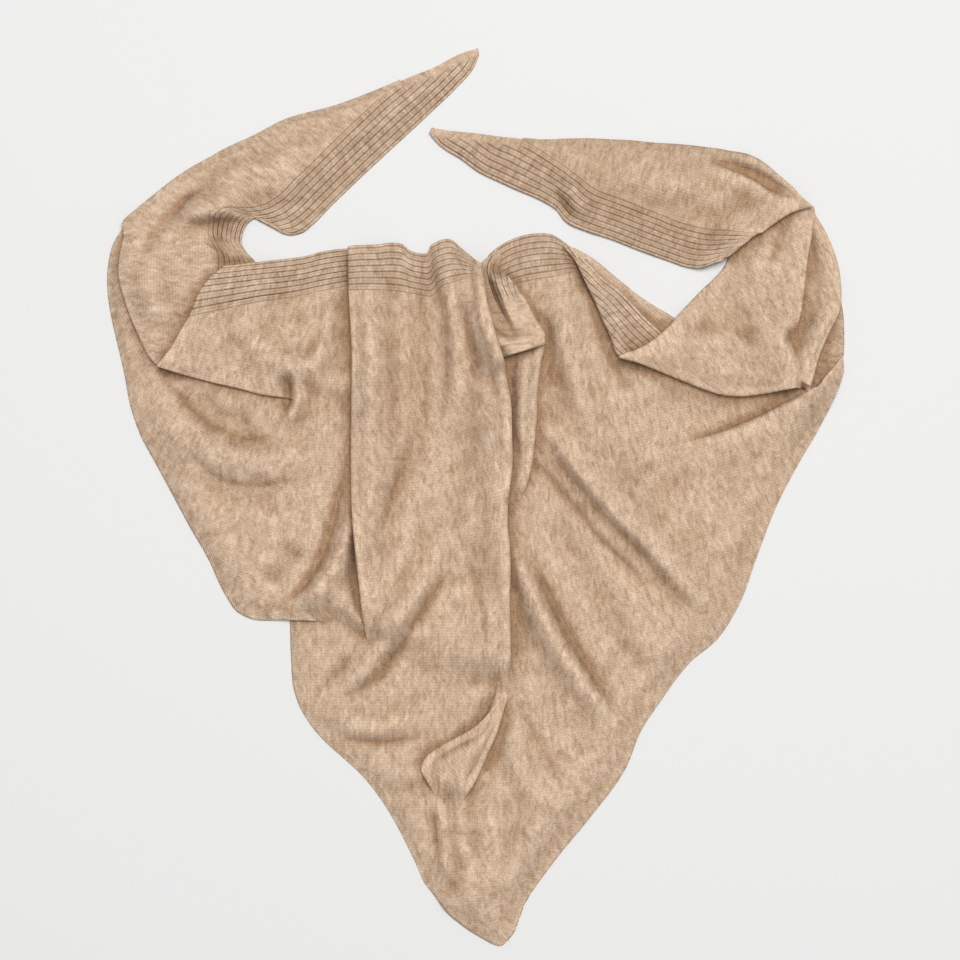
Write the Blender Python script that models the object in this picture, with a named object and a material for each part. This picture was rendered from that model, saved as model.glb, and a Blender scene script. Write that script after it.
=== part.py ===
"""Knitted triangle scarf, laid flat with its two long points turned up and over.

The scarf is one triangle of fine knit with a ribbed band along its long edge.
Laid out, it shows as overlapping stretches. Each stretch is a cloth wall that is
lofted between sections, laid over the stretches under it, and thickened.

Plan tables are in millimetres on a layout grid: x to the right, y down,
with the middle of the laid scarf at (CENTRE_X, CENTRE_Y). Heights are in millimetres.
"""

import math

import bmesh
import bpy
import numpy as np

# ---------------------------------------------------------------- driving sizes
CLOTH = 2.0            # wall of the knit, mm
SEAM_GAP = 0.4         # clear gap between a ribbed band and its panel
STACK_GAP = 0.5        # clear gap between stretches that lie on each other
CELL = 18.5            # spacing of the loft's points
CENTRE_X, CENTRE_Y = 476.0, 497.0
FOLD_REACH = 26.0      # how far in from a turned edge the cloth is still raised
GRID = 2.0             # spacing of the height map the layers are stacked with
HALF_X, HALF_Y = 400.0, 480.0

KNIT = (0.60, 0.45, 0.31, 1.0)
RIB = (0.57, 0.42, 0.28, 1.0)


def sections(text):
    """Rows of a table 'a_x a_y b_x b_y' as two rails of matching points."""
    rows = np.array([[float(n) for n in line.split()] for line in text.strip().splitlines()[1:]])
    return rows[:, 0:2], rows[:, 2:4]


def line(text):
    """Rows of a table 'x y' as one line of points."""
    return np.array([[float(n) for n in line_.split()] for line_ in text.strip().splitlines()[1:]])


# ---------------------------------------------------------------- the stretches
# Each stretch: its panels, each between rail a and rail b (a row for each section),
# with the two end lines where they aren't straight.

LOWER_LEFT = sections("""
left_x left_y right_x right_y
288 572  516 612
289 600  516 640
290 636  514 665
291 662  509 690
293 687  502 710
299 706  493 727
311 726  481 744
327 744  471 760
345 760  464 776
363 777  463 792
381 800  466 808
399 830  469 830
414 860  471 852
429 890  474 872
442 901  478 886
""")

RIGHT_OUTER = sections("""
inner_x inner_y edge_x edge_y
800 290  839 288
800 320  844 314
800 345  845 336
800 365  844 359
800 385  840 377
800 400  832 396
""")

RIGHT_RIB = sections("""
edge_x edge_y band_x band_y
464 272  476 298
484 264  490 292
490 253  500 289
499 246  509 286
514 238  519 283
536 233  540 279
552 234  558 276
565 242  575 272
588 262  597 281
""")

RIGHT_PANEL = sections("""
top_x top_y foot_x foot_y
476 298  430 891
490 292  451 917
500 289  480 938
509 286  500 947
519 283  520 911
540 279  556 860
558 276  592 816
575 272  627 767
597 281  641 732
613 306  662 700
626 331  690 663
650 346  718 639
690 350  740 604
730 350  757 558
765 353  779 502
792 368  803 457
808 390  819 430
816 387  827 414
824 378  834 399
833 368  840 385
843 355  844 371
""")
RIGHT_PANEL_LEFT = line("""
x y
476 298
484 420
490 600
501 660
502 690
497 712
482 734
462 760
450 784
445 803
444 824
445 850
447 872
442 886
430 891
""")

LEFT_WING = sections("""
edge_x edge_y inner_x inner_y
130 218  196 232
113 242  212 252
107 268  225 272
107 291  240 292
111 318  255 310
117 344  272 322
123 370  290 335
131 410  310 345
140 435  328 350
155 463  343 355
174 498  358 362
189 526  368 375
208 559  376 395
225 595  380 420
237 612  381 440
248 618  381 460
288 620  382 520
322 622  382 570
352 636  383 610
372 648  384 640
""")

LEFT_ARM_RIB = sections("""
edge_x edge_y band_x band_y
479  54  478  47
474  66  462  52
455  88  435  66
430 112  401  81
414 127  383  95
389 150  358 118
360 177  329 146
331 205  297 178
312 224  277 197
303 231  262 205
287 234  243 208
271 223  228 208
255 217  217 211
246 224  211 216
242 234  209 225
241 243  209 235
244 249  214 245
256 263  218 254
262 280  219 270
255 310  214 300
""")
LEFT_ARM = sections("""
band_x band_y edge_x edge_y
401  81  400  80
383  95  376  90
358 118  336 105
329 146  283 120
297 178  254 135
277 197  222 150
262 205  208 158
243 208  195 165
228 208  182 173
217 211  168 183
211 216  153 195
209 225  136 210
209 235  123 224
214 245  125 236
218 254  122 252
219 270  120 272
214 300  127 303
205 330  140 335
190 352  155 362
180 362  161 367
""")

LEFT_FLAP_RIB = sections("""
edge_x edge_y band_x band_y
226 268  192 318
238 266  218 312
256 263  250 305
282 259  275 300
304 256  298 296
323 251  322 291
349 248  348 286
374 247  374 284
""")
LEFT_FLAP_RIB_LEFT = line("""
x y
226 268
213 279
203 292
192 318
""")
LEFT_FLAP = sections("""
top_x top_y foot_x foot_y
192 318  160 367
218 312  187 375
250 305  213 382
275 300  239 388
298 296  262 394
322 291  290 398
348 286  330 412
374 284  376 428
""")
LEFT_FLAP_LEFT = line("""
x y
192 318
184 331
173 350
160 367
""")

POCKET_FOOT = sections("""
left_x left_y right_x right_y
492 330  538 332
492 350  543 346
494 370  540 364
498 395  537 390
500 420  536 416
500 445  533 450
500 465  531 466
500 490  524 490
500 510  514 512
""")

POCKET = sections("""
left_x left_y right_x right_y
478 266  500 246
478 276  500 266
480 290  510 281
484 305  525 301
488 320  535 321
492 336  544 339
496 360  544 345
""")

CENTRE_RIB = sections("""
edge_x edge_y band_x band_y
349 247.5  349.5 291
364 246    364 291
378 245    378 291
389 243    390 291
403 244.5  403 292
408 249.5  410 293
418 253    420 294.5
427 253    432 296
431 245    438 290
438 241    444 286.5
450 239    455 283
459 246    465 280
471 257    474 278.5
482 267    483 279
""")
CENTRE = sections("""
top_x top_y foot_x foot_y
349.5 291    381 663
364   291    390 668
378   291    400 672
390   291    410 675
403   292    420 679
410   293    429 682
420   294.5  438 685
432   296    449 689
438   290    457 691
444   286.5  465 693
455   283    477 695
465   280    487 696
474   278.5  497 697
483   279    505 697
""")
CENTRE_LEFT = line("""
x y
349.5 291
351 315
353 347
353 400
352 461
353 502
355 531
358 560
361 590
364 616
368 639
381 663
""")
CENTRE_RIGHT = line("""
x y
483 279
487 306
491 322
496 341
502 359
506 381
510 404
511 436
511 472
508 496
507 525
509 545
509 600
509 671
505 697
""")

RIGHT_MIDDLE = sections("""
edge_x edge_y inner_x inner_y
574 249  568 247
595 261  583 266
617 279  600 288
646 301  622 312
675 319  645 338
688 330  655 350
""")
RIGHT_STRIP = sections("""
edge_x edge_y fold_x fold_y
573 249  569 247
587 264  578 266
602 279  586 284
617 290  595 302
631 304  603 321
646 320  611 338
661 334  618 355
672 346  632 359
""")
RIGHT_TURN = sections("""
inner_x inner_y edge_x edge_y
795 206  813 211
780 230  829 240
775 260  837 262
772 285  840 288
770 305  839 308
770 325  828 332
770 345  818 354
772 360  811 374
775 370  807 387
""")
RIGHT_FRONT = sections("""
left_x left_y right_x right_y
756 222  797 200
740 238  812 208
723 270  811 231
700 293  807 256
683 311  804 281
663 333  800 308
650 343  796 330
636 351  800 350
622 356  808 369
618 358  808 391
""")
RIGHT_FRONT_FOOT = line("""
x y
618 358
633 362
658 371
683 381
703 389
719 394
741 396
766 393
782 390
797 388
808 391
""")

RIGHT_ARM_RIB = sections("""
edge_x edge_y band_x band_y
429.5 132  432 127.5
437 142    447 130
462 159    478 133
480 172    500 136
499 181    522 139
521 191    541 150
542 200    560 163
555 208    579 177
566 221    595 189
588 231    612 196
609 238    628 202
640 250    656 213
668 260    682 223
689 267    706 229
700 268    720 230.5
713 264    733 232
724 259    745 233.5
741 246    756 235
""")
RIGHT_ARM = sections("""
band_x band_y edge_x edge_y
522 139    524 137.5
541 150    546 139
560 163    570 138
579 177    592 138
595 189    612 139
612 196    632 140
628 202    650 142
656 213    676 143.5
682 223    700 146
706 229    720 148.5
720 230.5  732 151
733 232    745 154
745 233.5  757 159
756 235    766 165
771 226    778 175
782 218    790 186
794 212    800 199
807 208.5  812 209
""")

FOOT_FOLD = sections("""
left_x left_y right_x right_y
505 682  508 682
500 696  506 698
492 709  502 713
476 726  496 732
458 737  489 749
438 748  482 765
425 759  475 780
422 768  469 790
427 779  464 797
434 792  459 803
441 805  454 810
""")

# ---------------------------------------------------------------- folds
# A fold is a soft ridge along a line: its height, its reach to either side, and the line.
FOLDS = {
    "lower_left": [
        (11, 12, 16, "444 548  428 575  410 604  394 630  377 656  356 680  336 696"),
        (8, 14, 12, "326 722  372 728  422 719"),
        (6, 14, 12, "346 762  396 776  436 770"),
        (6, 14, 12, "396 796  416 836  432 870"),
    ],
    "right_panel": [
        (15, 24, 12, "538 414  560 446  588 482  616 514  650 548  686 589  713 613"),
        (15, 12, 15, "508 525  516 559  541 610  560 647  577 671  601 707  625 739"),
        (10, 30, 12, "846 355  827 377  802 398  759 419  720 435  682 446  650 456"),
        (7, 20, 20, "690 480  715 525  730 570"),
        (8, 14, 12, "556 296  564 345  580 400  596 440"),
        (9, 14, 12, "441 792  445 846  449 886"),
        (8, 14, 14, "560 770  530 840  505 900"),
    ],
    "left_wing": [
        (15, 12, 16, "160 396  188 428  220 450  248 459  279 459  321 454"),
        (14, 16, 12, "342 536  326 568  307 598  294 616"),
        (8, 20, 16, "150 470  200 540  235 590"),
        (8, 12, 12, "119 250  115 292  123 340  136 384"),
    ],
    "left_arm": [
        (9, 18, 18, "310 165  255 180  205 192"),
        (18, 17, 12, "176 222  205 214  230 213  258 216"),
        (9, 14, 14, "150 262  150 292  162 330"),
        (6, 14, 14, "330 120  370 100  410 80"),
    ],
    "left_flap": [
        (10, 12, 12, "291 362  297 380  297 400  288 420"),
        (8, 14, 12, "230 318  258 346  276 372"),
        (7, 12, 12, "326 300  320 345  312 384"),
    ],
    "centre": [
        (10, 18, 12, "372 252  372 330  374 420  374 500  380 570"),
        (13, 22, 12, "438 244  443 270  450 300  457 345  455 395  444 436"),
        (7, 14, 12, "486 380  484 440  472 500  464 560"),
        (7, 12, 18, "484 590  490 640  478 686"),
        (10, 12, 16, "444 548  428 575  410 604  394 630  377 656"),
    ],
    "right_front": [
        (9, 22, 20, "765 240  752 280  735 316"),
        (8, 14, 12, "690 358  725 374  772 376"),
    ],
    "right_turn": [
        (11, 12, 12, "833 306  823 332  813 354  803 380"),
    ],
    "right_arm": [
        (8, 12, 12, "728 155  752 161  775 173  800 196"),
        (9, 22, 16, "600 172  650 180  700 190  745 206"),
        (6, 10, 10, "560 196  569 217"),
    ],
    "pocket_foot": [(9, 12, 12, "527 345  523 400  521 455")],
    "pocket": [(11, 14, 10, "489 256  494 276  502 298  510 316  519 333")],
    "foot_fold": [(7, 12, 12, "503 700  484 736  456 764  447 790")],
}

# Which edges of a panel are turned under (rise), in the order a, b, first end, last end.
# name, layer tables, rises in mm, undulation in mm
STRETCHES = [
    # name           panels (node, rails, first end, last end)                         rises a b first last  puff
    ("lower_left", [("lower_left", LOWER_LEFT, None, None)], (0, 0, 0, 0), 4.0),
    ("right_outer", [("right_outer", RIGHT_OUTER, None, None)], (0, 0, 0, 0), 0.0),
    ("right_panel", [("right_rib", RIGHT_RIB, None, None), ("right_panel", RIGHT_PANEL, RIGHT_PANEL_LEFT, None)], (0, 0, 0, 0), 8.0),
    ("left_wing", [("left_wing", LEFT_WING, None, None)], (0, 0, 0, 0), 7.0),
    ("left_arm", [("left_arm_rib", LEFT_ARM_RIB, None, None), ("left_arm", LEFT_ARM, None, None)], (0, 3, 0, 0), 4.0),
    ("left_flap", [("left_flap_rib", LEFT_FLAP_RIB, LEFT_FLAP_RIB_LEFT, None), ("left_flap", LEFT_FLAP, LEFT_FLAP_LEFT, None)], (0, 5, 6, 0), 5.0),
    ("pocket_foot", [("pocket_foot", POCKET_FOOT, None, None)], (0, 5, 0, 0), 0.0),
    ("pocket", [("pocket", POCKET, None, None)], (0, 5, 0, 4), 0.0),
    ("centre", [("centre_rib", CENTRE_RIB, None, None), ("centre_panel", CENTRE, CENTRE_LEFT, CENTRE_RIGHT)], (0, 0, 6, 7), 5.0),
    ("right_middle", [("right_middle", RIGHT_MIDDLE, None, None)], (3, 0, 0, 0), 0.0),
    ("right_strip", [("right_strip", RIGHT_STRIP, None, None)], (0, 4, 0, 0), 0.0),
    ("right_turn", [("right_turn", RIGHT_TURN, None, None)], (0, 3, 0, 0), 0.0),
    ("right_front", [("right_front", RIGHT_FRONT, None, RIGHT_FRONT_FOOT)], (5, 4, 0, 5), 4.0),
    ("right_arm", [("right_arm_rib", RIGHT_ARM_RIB, None, None), ("right_arm", RIGHT_ARM, None, None)], (0, 0, 0, 0), 3.0),
    ("foot_fold", [("foot_fold", FOOT_FOLD, None, None)], (4, 4, 0, 0), 0.0),
]


# ---------------------------------------------------------------- curves and lofts
def curve(points, t):
    """Smooth curve through points at station numbers t, with no overshoot between near points."""
    points = np.asarray(points, float)
    t = np.asarray(t, float)
    if len(points) == 2:
        return points[0] + (points[1] - points[0]) * t[:, None]
    h = np.maximum(np.linalg.norm(np.diff(points, axis=0), axis=1), 1e-6)[:, None]
    d = np.diff(points, axis=0) / h
    m = np.empty_like(points)
    m[1:-1] = (h[:-1] * d[1:] + h[1:] * d[:-1]) / (h[:-1] + h[1:])
    m[0], m[-1] = d[0], d[-1]
    i = np.clip(t.astype(int), 0, len(points) - 2)
    s = (t - i)[:, None]
    a, b, ma, mb, hi = points[i], points[i + 1], m[i], m[i + 1], h[i]
    return (
        a * (1 + 2 * s) * (1 - s) ** 2
        + b * s * s * (3 - 2 * s)
        + ma * hi * s * (1 - s) ** 2
        - mb * hi * s * s * (1 - s)
    )


def even(points, w):
    """The curve through points at shares w of its length."""
    t = np.linspace(0, len(points) - 1, 40 * (len(points) - 1) + 1)
    p = curve(points, t)
    run = np.concatenate([[0], np.cumsum(np.linalg.norm(np.diff(p, axis=0), axis=1))])
    return curve(points, np.interp(np.asarray(w) * run[-1], run, t))


def stations(rail, cell):
    """Station numbers along a rail, about cell apart."""
    steps = np.linalg.norm(np.diff(rail, axis=0), axis=1)
    t = [0.0]
    for i, s in enumerate(steps):
        n = max(1, int(round(s / cell)))
        t += [i + (k + 1) / n for k in range(n)]
    return np.array(t)


def merged(rail, first, last, cell):
    """Station numbers from row first to row last, about cell apart, without those that lie close together."""
    t = stations(rail, cell)
    t = t[(t >= first - 1e-6) & (t <= last + 1e-6)]
    least = 0.62 * cell
    p = curve(rail, t)
    keep = [0]
    for i in range(1, len(t) - 1):
        if np.linalg.norm(p[i] - p[keep[-1]]) >= least and np.linalg.norm(p[i] - p[-1]) >= 0.5 * least:
            keep.append(i)
    return t[keep + [len(t) - 1]]


def length(rail):
    return np.linalg.norm(np.diff(rail, axis=0), axis=1).sum()


def shared_stations(panels):
    """Station numbers for each panel; a ribbed band and its panel share theirs where they meet."""
    if len(panels) == 1:
        a, b = panels[0][1]
        rail = a if length(a) > length(b) else b
        return [merged(rail, 0, len(rail) - 1, CELL)]
    band, top = panels[0][1][1], panels[1][1][0]
    start = int(np.argmin(np.linalg.norm(band - top[0], axis=1)))
    met = len(band) - 1 - start
    common = merged(top, 0, met, CELL)
    rest = merged(top, met, len(top) - 1, CELL)[1:] if met < len(top) - 1 else np.array([])
    before = merged(band, 0, start, CELL)[:-1] if start else np.array([])
    return [np.concatenate([before, common + start]), np.concatenate([common, rest]), curve(top, common)]


def loft(rails, first, last, t, w, met=None):
    """Plan points between two rails and two end lines. met are the points where the panel below joins rail b."""
    a, b = rails
    ra, rb = curve(a, t), curve(b, t)
    if met is not None:
        rb[-len(met):] = met
    n = len(a) - 1
    u = (t / n)[:, None, None]
    v = np.asarray(w)[None, :, None]
    p = ra[:, None, :] * (1 - v) + rb[:, None, :] * v
    for end, share in ((first, 1 - u), (last, u)):
        if end is not None:
            q = even(end, w)
            straight = q[0] + (q[-1] - q[0]) * np.asarray(w)[:, None]
            p = p + (share ** 3) * (q - straight)[None, :, :]
    return p


def distance(p, pts):
    """Distance from each point to a line of points, its share along the line, and the side."""
    p = p.reshape(-1, 2)
    best = np.full(len(p), 1e9)
    along = np.zeros(len(p))
    side = np.zeros(len(p))
    n = len(pts) - 1
    for i in range(n):
        a, b = pts[i], pts[i + 1]
        d = b - a
        L = float(d @ d)
        if L < 1e-12:
            continue
        s = np.clip(((p - a) @ d) / L, 0, 1)
        q = p - (a + s[:, None] * d)
        r = np.hypot(q[:, 0], q[:, 1])
        m = r < best
        best[m] = r[m]
        along[m] = (i + s[m]) / n
        side[m] = (d[0] * q[m, 1] - d[1] * q[m, 0])
    return best, along, side


def ease(x):
    x = np.clip(x, 0, 1)
    return x * x * (3 - 2 * x)


def ridge(shape, name):
    """Height of a stretch's folds at its plan points."""
    p = shape.reshape(-1, 2)
    z = np.zeros(len(p))
    for height, reach_a, reach_b, text in FOLDS.get(name, []):
        n = [float(x) for x in text.split()]
        pts = np.array(n).reshape(-1, 2)
        pts = curve(pts, np.linspace(0, len(pts) - 1, 6 * (len(pts) - 1) + 1))
        d, along, side = distance(p, pts)
        reach = np.where(side < 0, reach_a, reach_b)
        fade = ease(along / 0.25) * ease((1 - along) / 0.25)
        fade = 0.15 + 0.85 * fade
        z = z + height * fade * np.exp(-((d / reach) ** 2))
    return z.reshape(shape.shape[:-1])


# ---------------------------------------------------------------- the stack
NX, NY = int(2 * HALF_X / GRID) + 1, int(2 * HALF_Y / GRID) + 1


def widen(m, n):
    """Highest value within n cells each way."""
    for axis in (0, 1):
        out = m.copy()
        for k in range(1, n + 1):
            out = np.maximum(out, np.roll(m, k, axis))
            out = np.maximum(out, np.roll(m, -k, axis))
        m = out
    return m


def blur(m, n):
    """Mean within n cells each way."""
    for axis in (0, 1):
        out = m.copy()
        for k in range(1, n + 1):
            out = out + np.roll(m, k, axis) + np.roll(m, -k, axis)
        m = out / (2 * n + 1)
    return m


def read(m, p):
    """Value of the height map at plan points."""
    x = (p[..., 0] - CENTRE_X + HALF_X) / GRID
    y = (p[..., 1] - CENTRE_Y + HALF_Y) / GRID
    i = np.clip(x.astype(int), 0, NX - 2)
    j = np.clip(y.astype(int), 0, NY - 2)
    fx, fy = x - i, y - j
    return (
        m[i, j] * (1 - fx) * (1 - fy)
        + m[i + 1, j] * fx * (1 - fy)
        + m[i, j + 1] * (1 - fx) * fy
        + m[i + 1, j + 1] * fx * fy
    )


def lay(m, p, z, step):
    """Raises the height map to a panel's upper side."""
    k = int(math.ceil(step / (0.8 * GRID))) + 1
    f = np.linspace(0, 1, k)
    for a in f:
        for b in f:
            q = (
                p[:-1, :-1] * (1 - a) * (1 - b)
                + p[1:, :-1] * a * (1 - b)
                + p[:-1, 1:] * (1 - a) * b
                + p[1:, 1:] * a * b
            )
            h = (
                z[:-1, :-1] * (1 - a) * (1 - b)
                + z[1:, :-1] * a * (1 - b)
                + z[:-1, 1:] * (1 - a) * b
                + z[1:, 1:] * a * b
            )
            i = np.clip(np.round((q[..., 0] - CENTRE_X + HALF_X) / GRID).astype(int), 0, NX - 1)
            j = np.clip(np.round((q[..., 1] - CENTRE_Y + HALF_Y) / GRID).astype(int), 0, NY - 1)
            np.maximum.at(m, (i.ravel(), j.ravel()), h.ravel())


def wall(name, p, z, colour, collection):
    """A cloth wall of the panel: an open sheet, extruded upwards by the knit's thickness."""
    nu, nv = z.shape
    verts = [
        ((p[i, j, 0] - CENTRE_X) / 1000, (CENTRE_Y - p[i, j, 1]) / 1000, z[i, j] / 1000)
        for i in range(nu)
        for j in range(nv)
    ]
    faces = [
        (i * nv + j, (i + 1) * nv + j, (i + 1) * nv + j + 1, i * nv + j + 1)
        for i in range(nu - 1)
        for j in range(nv - 1)
    ]
    mesh = bpy.data.meshes.new(name)
    mesh.from_pydata(verts, [], faces)
    bm = bmesh.new()
    bm.from_mesh(mesh)
    bmesh.ops.remove_doubles(bm, verts=bm.verts, dist=0.0008)
    bmesh.ops.triangulate(bm, faces=bm.faces)
    bm.normal_update()
    if sum(f.normal.z * f.calc_area() for f in bm.faces) < 0:
        bmesh.ops.reverse_faces(bm, faces=bm.faces)
    raised = bmesh.ops.extrude_face_region(bm, geom=list(bm.faces), use_keep_orig=False)
    up = [v for v in raised["geom"] if isinstance(v, bmesh.types.BMVert)]
    bmesh.ops.translate(bm, verts=up, vec=(0, 0, CLOTH / 1000))
    bmesh.ops.recalc_face_normals(bm, faces=bm.faces)
    bm.to_mesh(mesh)
    bm.free()
    mesh.shade_smooth()
    mesh.set_sharp_from_angle(angle=math.radians(50))
    obj = bpy.data.objects.new(name, mesh)
    collection.objects.link(obj)
    mat = bpy.data.materials.new(name)
    mat.use_nodes = True
    bsdf = mat.node_tree.nodes["Principled BSDF"]
    bsdf.inputs["Base Color"].default_value = colour
    bsdf.inputs["Roughness"].default_value = 0.95
    bsdf.inputs["Metallic"].default_value = 0.0
    mesh.materials.append(mat)
    return obj


def build():
    for o in list(bpy.data.objects):
        bpy.data.objects.remove(o)
    collection = bpy.data.collections.new("knitted_triangle_scarf")
    bpy.context.scene.collection.children.link(collection)
    top = np.zeros((NX, NY))
    clear = int(math.ceil(CELL / GRID))
    soft = 3
    for name, panels, rises, puff in STRETCHES:
        under = blur(widen(top, clear + 2 * soft), soft)
        under = np.where(under > 0.01, under + STACK_GAP, 0)
        under = blur(widen(under, soft), soft)
        laid = []
        times = shared_stations(panels)
        for k, (node, rails, first, last) in enumerate(panels):
            a, b = rails
            t = times[k]
            width = np.linalg.norm(b - a, axis=1).max()
            n = max(2, int(round(width / (CELL if width > 50 else 11.0))) + 1)
            w = np.linspace(0, 1, n)
            p = loft(rails, first, last, t, w, times[2] if len(panels) == 2 and k == 0 else None)
            # a ribbed band and its panel stand apart by the seam gap
            if len(panels) == 2 and k == 1:
                step = p[:, 1] - p[:, 0]
                far = np.maximum(np.linalg.norm(step, axis=1, keepdims=True), 1e-6)
                p[:, 0] = p[:, 0] + step / far * np.minimum(SEAM_GAP, 0.4 * far)
            base = read(under, p)
            z = base + ridge(p, name)
            # turned edges stand higher
            edges = (curve(a, t), curve(b, t), p[0], p[-1])
            for edge, rise in zip(edges, rises):
                if len(panels) == 2 and ((k == 0 and edge is edges[1]) or (k == 1 and edge is edges[0])):
                    continue
                if rise:
                    d = distance(p, edge)[0].reshape(z.shape)
                    z = z + rise * (1 - ease(d / FOLD_REACH))
            # free panels lift a little off the table away from their rims
            if puff:
                rim = np.full(z.shape, 1e9)
                for edge in edges:
                    rim = np.minimum(rim, distance(p, edge)[0].reshape(z.shape))
                z = z + puff * ease((rim - 14) / 40)
            z = np.where(z < 0.35, 0.0, z)
            laid.append((p, z))
            wall(node, p, z, RIB if "rib" in node or "strip" in node or node == "pocket" else KNIT, collection)
        for p, z in laid:
            lay(top, p, z + CLOTH, CELL * 1.8)


build()
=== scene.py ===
"""Looks of the knitted triangle scarf: each stretch of cloth as a thin knitted shell,
laid over the stretches under it, with its folds, ribs, stitches and melange yarn."""

import math

import bmesh
import bpy
import numpy as np
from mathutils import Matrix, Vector


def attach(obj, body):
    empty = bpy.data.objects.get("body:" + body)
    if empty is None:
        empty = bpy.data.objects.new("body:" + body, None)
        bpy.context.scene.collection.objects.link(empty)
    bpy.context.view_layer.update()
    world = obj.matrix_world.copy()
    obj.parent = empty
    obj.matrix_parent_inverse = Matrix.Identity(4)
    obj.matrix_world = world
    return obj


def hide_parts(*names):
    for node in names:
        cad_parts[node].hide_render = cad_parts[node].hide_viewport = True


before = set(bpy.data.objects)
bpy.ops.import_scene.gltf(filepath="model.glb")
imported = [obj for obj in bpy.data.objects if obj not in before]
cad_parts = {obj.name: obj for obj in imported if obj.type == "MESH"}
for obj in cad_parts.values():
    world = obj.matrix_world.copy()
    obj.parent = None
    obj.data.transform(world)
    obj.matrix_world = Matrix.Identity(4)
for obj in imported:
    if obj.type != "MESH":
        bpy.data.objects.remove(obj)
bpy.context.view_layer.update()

# ---------------------------------------------------------------- sizes, mm
CLOTH = 1.9            # knit thickness
STACK_GAP = 0.25
CELL = 2.3             # spacing of the surface's points
RIB_CELL = 0.95        # across the ribs
CENTRE_X, CENTRE_Y = 476.0, 497.0
BAND = 44.0
PITCH = 5.87           # rib pitch
FOLD_REACH = 30.0
GRID = 2.0
HALF_X, HALF_Y = 400.0, 480.0


def sections(text):
    """Rows of a table 'a_x a_y b_x b_y' as two rails of matching points."""
    rows = np.array([[float(n) for n in line.split()] for line in text.strip().splitlines()[1:]])
    return rows[:, 0:2], rows[:, 2:4]


def line(text):
    """Rows of a table 'x y' as one line of points."""
    return np.array([[float(n) for n in line_.split()] for line_ in text.strip().splitlines()[1:]])


# ---------------------------------------------------------------- the stretches
# Each stretch: its panels, each between rail a and rail b (a row for each section),
# with the two end lines where they aren't straight.

LOWER_LEFT = sections("""
left_x left_y right_x right_y
288 572  516 612
289 600  516 640
290 636  514 665
291 662  509 690
293 687  502 710
299 706  493 727
311 726  481 744
327 744  471 760
345 760  464 776
363 777  463 792
381 800  466 808
399 830  469 830
414 860  471 852
429 890  474 872
442 901  478 886
""")

RIGHT_OUTER = sections("""
inner_x inner_y edge_x edge_y
800 290  839 288
800 320  844 314
800 345  845 336
800 365  844 359
800 385  840 377
800 400  832 396
""")

RIGHT_RIB = sections("""
edge_x edge_y band_x band_y
464 272  476 298
484 264  490 292
490 253  500 289
499 246  509 286
514 238  519 283
536 233  540 279
552 234  558 276
565 242  575 272
588 262  597 281
""")

RIGHT_PANEL = sections("""
top_x top_y foot_x foot_y
476 298  430 891
490 292  451 917
500 289  480 938
509 286  500 947
519 283  520 911
540 279  556 860
558 276  592 816
575 272  627 767
597 281  641 732
613 306  662 700
626 331  690 663
650 346  718 639
690 350  740 604
730 350  757 558
765 353  779 502
792 368  803 457
808 390  819 430
816 387  827 414
824 378  834 399
833 368  840 385
843 355  844 371
""")
RIGHT_PANEL_LEFT = line("""
x y
476 298
484 420
490 600
501 660
502 690
497 712
482 734
462 760
450 784
445 803
444 824
445 850
447 872
442 886
430 891
""")

LEFT_WING = sections("""
edge_x edge_y inner_x inner_y
130 218  196 232
113 242  212 252
107 268  225 272
107 291  240 292
111 318  255 310
117 344  272 322
123 370  290 335
131 410  310 345
140 435  328 350
155 463  343 355
174 498  358 362
189 526  368 375
208 559  376 395
225 595  380 420
237 612  381 440
248 618  381 460
288 620  382 520
322 622  382 570
350 634  379 604
362 641  376 627
""")

LEFT_ARM_RIB = sections("""
edge_x edge_y band_x band_y
479  54  478  47
474  66  462  52
455  88  435  66
430 112  401  81
414 127  383  95
389 150  358 118
360 177  329 146
331 205  297 178
312 224  277 197
303 231  262 205
287 234  243 208
271 223  228 208
255 217  217 211
246 224  211 216
242 234  209 225
241 243  209 235
244 249  214 245
256 263  218 254
262 280  219 270
255 310  214 300
""")
LEFT_ARM = sections("""
band_x band_y edge_x edge_y
401  81  400  80
383  95  376  90
358 118  336 105
329 146  283 120
297 178  254 135
277 197  222 150
262 205  208 158
243 208  195 165
228 208  182 173
217 211  168 183
211 216  153 195
209 225  136 210
209 235  123 224
214 245  125 236
218 254  122 252
219 270  120 272
214 300  127 303
205 330  140 335
190 352  155 362
180 362  161 367
""")

LEFT_FLAP_RIB = sections("""
edge_x edge_y band_x band_y
226 268  192 318
238 266  218 312
256 263  250 305
282 259  275 300
304 256  298 296
323 251  322 291
349 248  348 286
374 247  374 284
""")
LEFT_FLAP_RIB_LEFT = line("""
x y
226 268
213 279
203 292
192 318
""")
LEFT_FLAP = sections("""
top_x top_y foot_x foot_y
192 318  160 367
218 312  187 375
250 305  213 382
275 300  239 388
298 296  262 394
322 291  290 398
348 286  330 412
374 284  376 428
""")
LEFT_FLAP_LEFT = line("""
x y
192 318
184 331
173 350
160 367
""")

POCKET_FOOT = sections("""
left_x left_y right_x right_y
492 330  538 332
492 350  543 346
494 370  540 364
498 395  537 390
500 420  536 416
500 445  533 450
500 465  531 466
500 490  524 490
500 510  514 512
""")

POCKET = sections("""
left_x left_y right_x right_y
478 266  500 246
478 276  500 266
480 290  510 281
484 305  525 301
488 320  535 321
492 336  544 339
496 360  544 345
""")

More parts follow.
